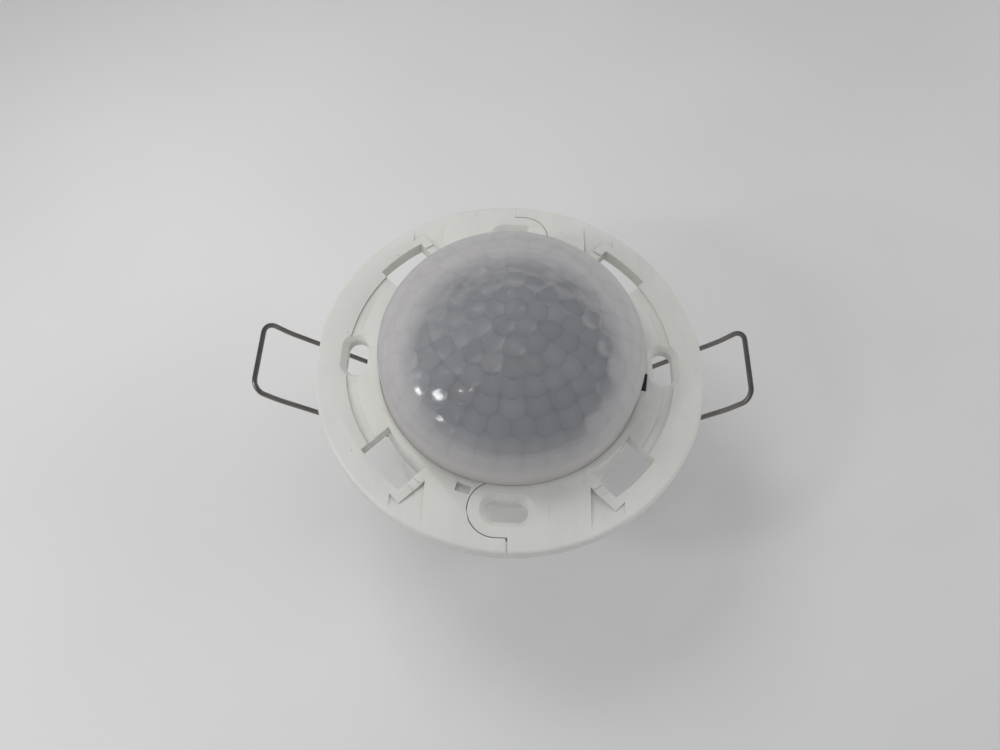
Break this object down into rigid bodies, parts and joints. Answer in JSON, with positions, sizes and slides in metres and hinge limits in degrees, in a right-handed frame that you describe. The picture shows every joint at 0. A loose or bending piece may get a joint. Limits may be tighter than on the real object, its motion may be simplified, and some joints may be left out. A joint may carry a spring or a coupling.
{
  "type": "recessed ceiling motion sensor",
  "caption": "Round recessed ceiling motion sensor with a milky dome lens, a split trim ring with screw slots, and two sprung wire bails.",
  "frame": {"origin": "centre of the rear cover's flat outer face", "axes": "+Z from the rear face to the top of the dome lens (out of the ceiling, into the room), +X towards the right-hand bail, +Y towards the cable terminals"},
  "size_m": [0.0975, 0.076, 0.059],
  "materials": {
    "ring_plastic": "smooth moulded, faintly glossy",
    "lens_plastic": "milky translucent moulded sheet",
    "black_plastic": "moulded",
    "body_plastic": "fine spark texture",
    "shroud_plastic": "matt moulded",
    "circuit_board": "solder mask over glass laminate",
    "can_metal": "nickel plated, drawn",
    "filter_window": "coated silicon",
    "clear_plastic": "clear moulded",
    "red_plastic": "tinted moulded",
    "brass_pins": "plated",
    "relay_plastic": "moulded",
    "yellow_plastic": "moulded box",
    "ferrite": "sintered",
    "blue_plastic": "epoxy coated",
    "ceramic": "glazed",
    "dial_plastic": "moulded",
    "green_plastic": "moulded",
    "plated_metal": "zinc plated",
    "spring_wire": "drawn spring steel, oiled",
    "pin_steel": "ground"
  },
  "bodies": {
    "root": {"ring_half_left": "ring_plastic", "ring_half_right": "ring_plastic", "fresnel_lens": "lens_plastic", "lens_key": "black_plastic", "body_housing": "body_plastic", "rear_cover": "body_plastic", "board_retainer": "body_plastic", "sensor_shroud": "shroud_plastic", "sensor_board": "circuit_board", "pir_can": "can_metal", "pir_window": "filter_window", "light_sensor": "clear_plastic", "status_led": "red_plastic", "control_chip": "black_plastic", "board_header": "brass_pins", "power_board": "circuit_board", "relay": "relay_plastic", "film_capacitor": "yellow_plastic", "reservoir_capacitor": "black_plastic", "choke": "ferrite", "varistor": "blue_plastic", "fuse": "ceramic", "trimmer_bases": "blue_plastic", "terminal_block": "green_plastic", "terminal_clamps": "plated_metal", "terminal_screws": "plated_metal", "spring_pin_left": "pin_steel", "spring_pin_right": "pin_steel", "case_screws": "plated_metal"},
    "bail_left": {"spring_left": "spring_wire"},
    "bail_right": {"spring_right": "spring_wire"},
    "time_dial": {"time_dial": "dial_plastic"},
    "light_dial": {"light_dial": "dial_plastic"}
  },
  "joints": [
    {"name": "bail_left_fold", "type": "hinge", "parent": "root", "child": "bail_left", "pos_m": [-0.0214, 0, 0.0172], "axis": [0, -1, 0], "range_deg": [0, 128], "stiffness_Nm_per_rad": 0.02},
    {"name": "bail_right_fold", "type": "hinge", "parent": "root", "child": "bail_right", "pos_m": [0.0214, 0, 0.0172], "axis": [0, 1, 0], "range_deg": [0, 137], "stiffness_Nm_per_rad": 0.02},
    {"name": "time_dial_turn", "type": "hinge", "parent": "root", "child": "time_dial", "pos_m": [-0.0056, -0.0132, 0.005], "axis": [0, 0, 1], "range_deg": [-135, 135]},
    {"name": "light_dial_turn", "type": "hinge", "parent": "root", "child": "light_dial", "pos_m": [0.0056, -0.0132, 0.005], "axis": [0, 0, 1], "range_deg": [-135, 135]}
  ]
}
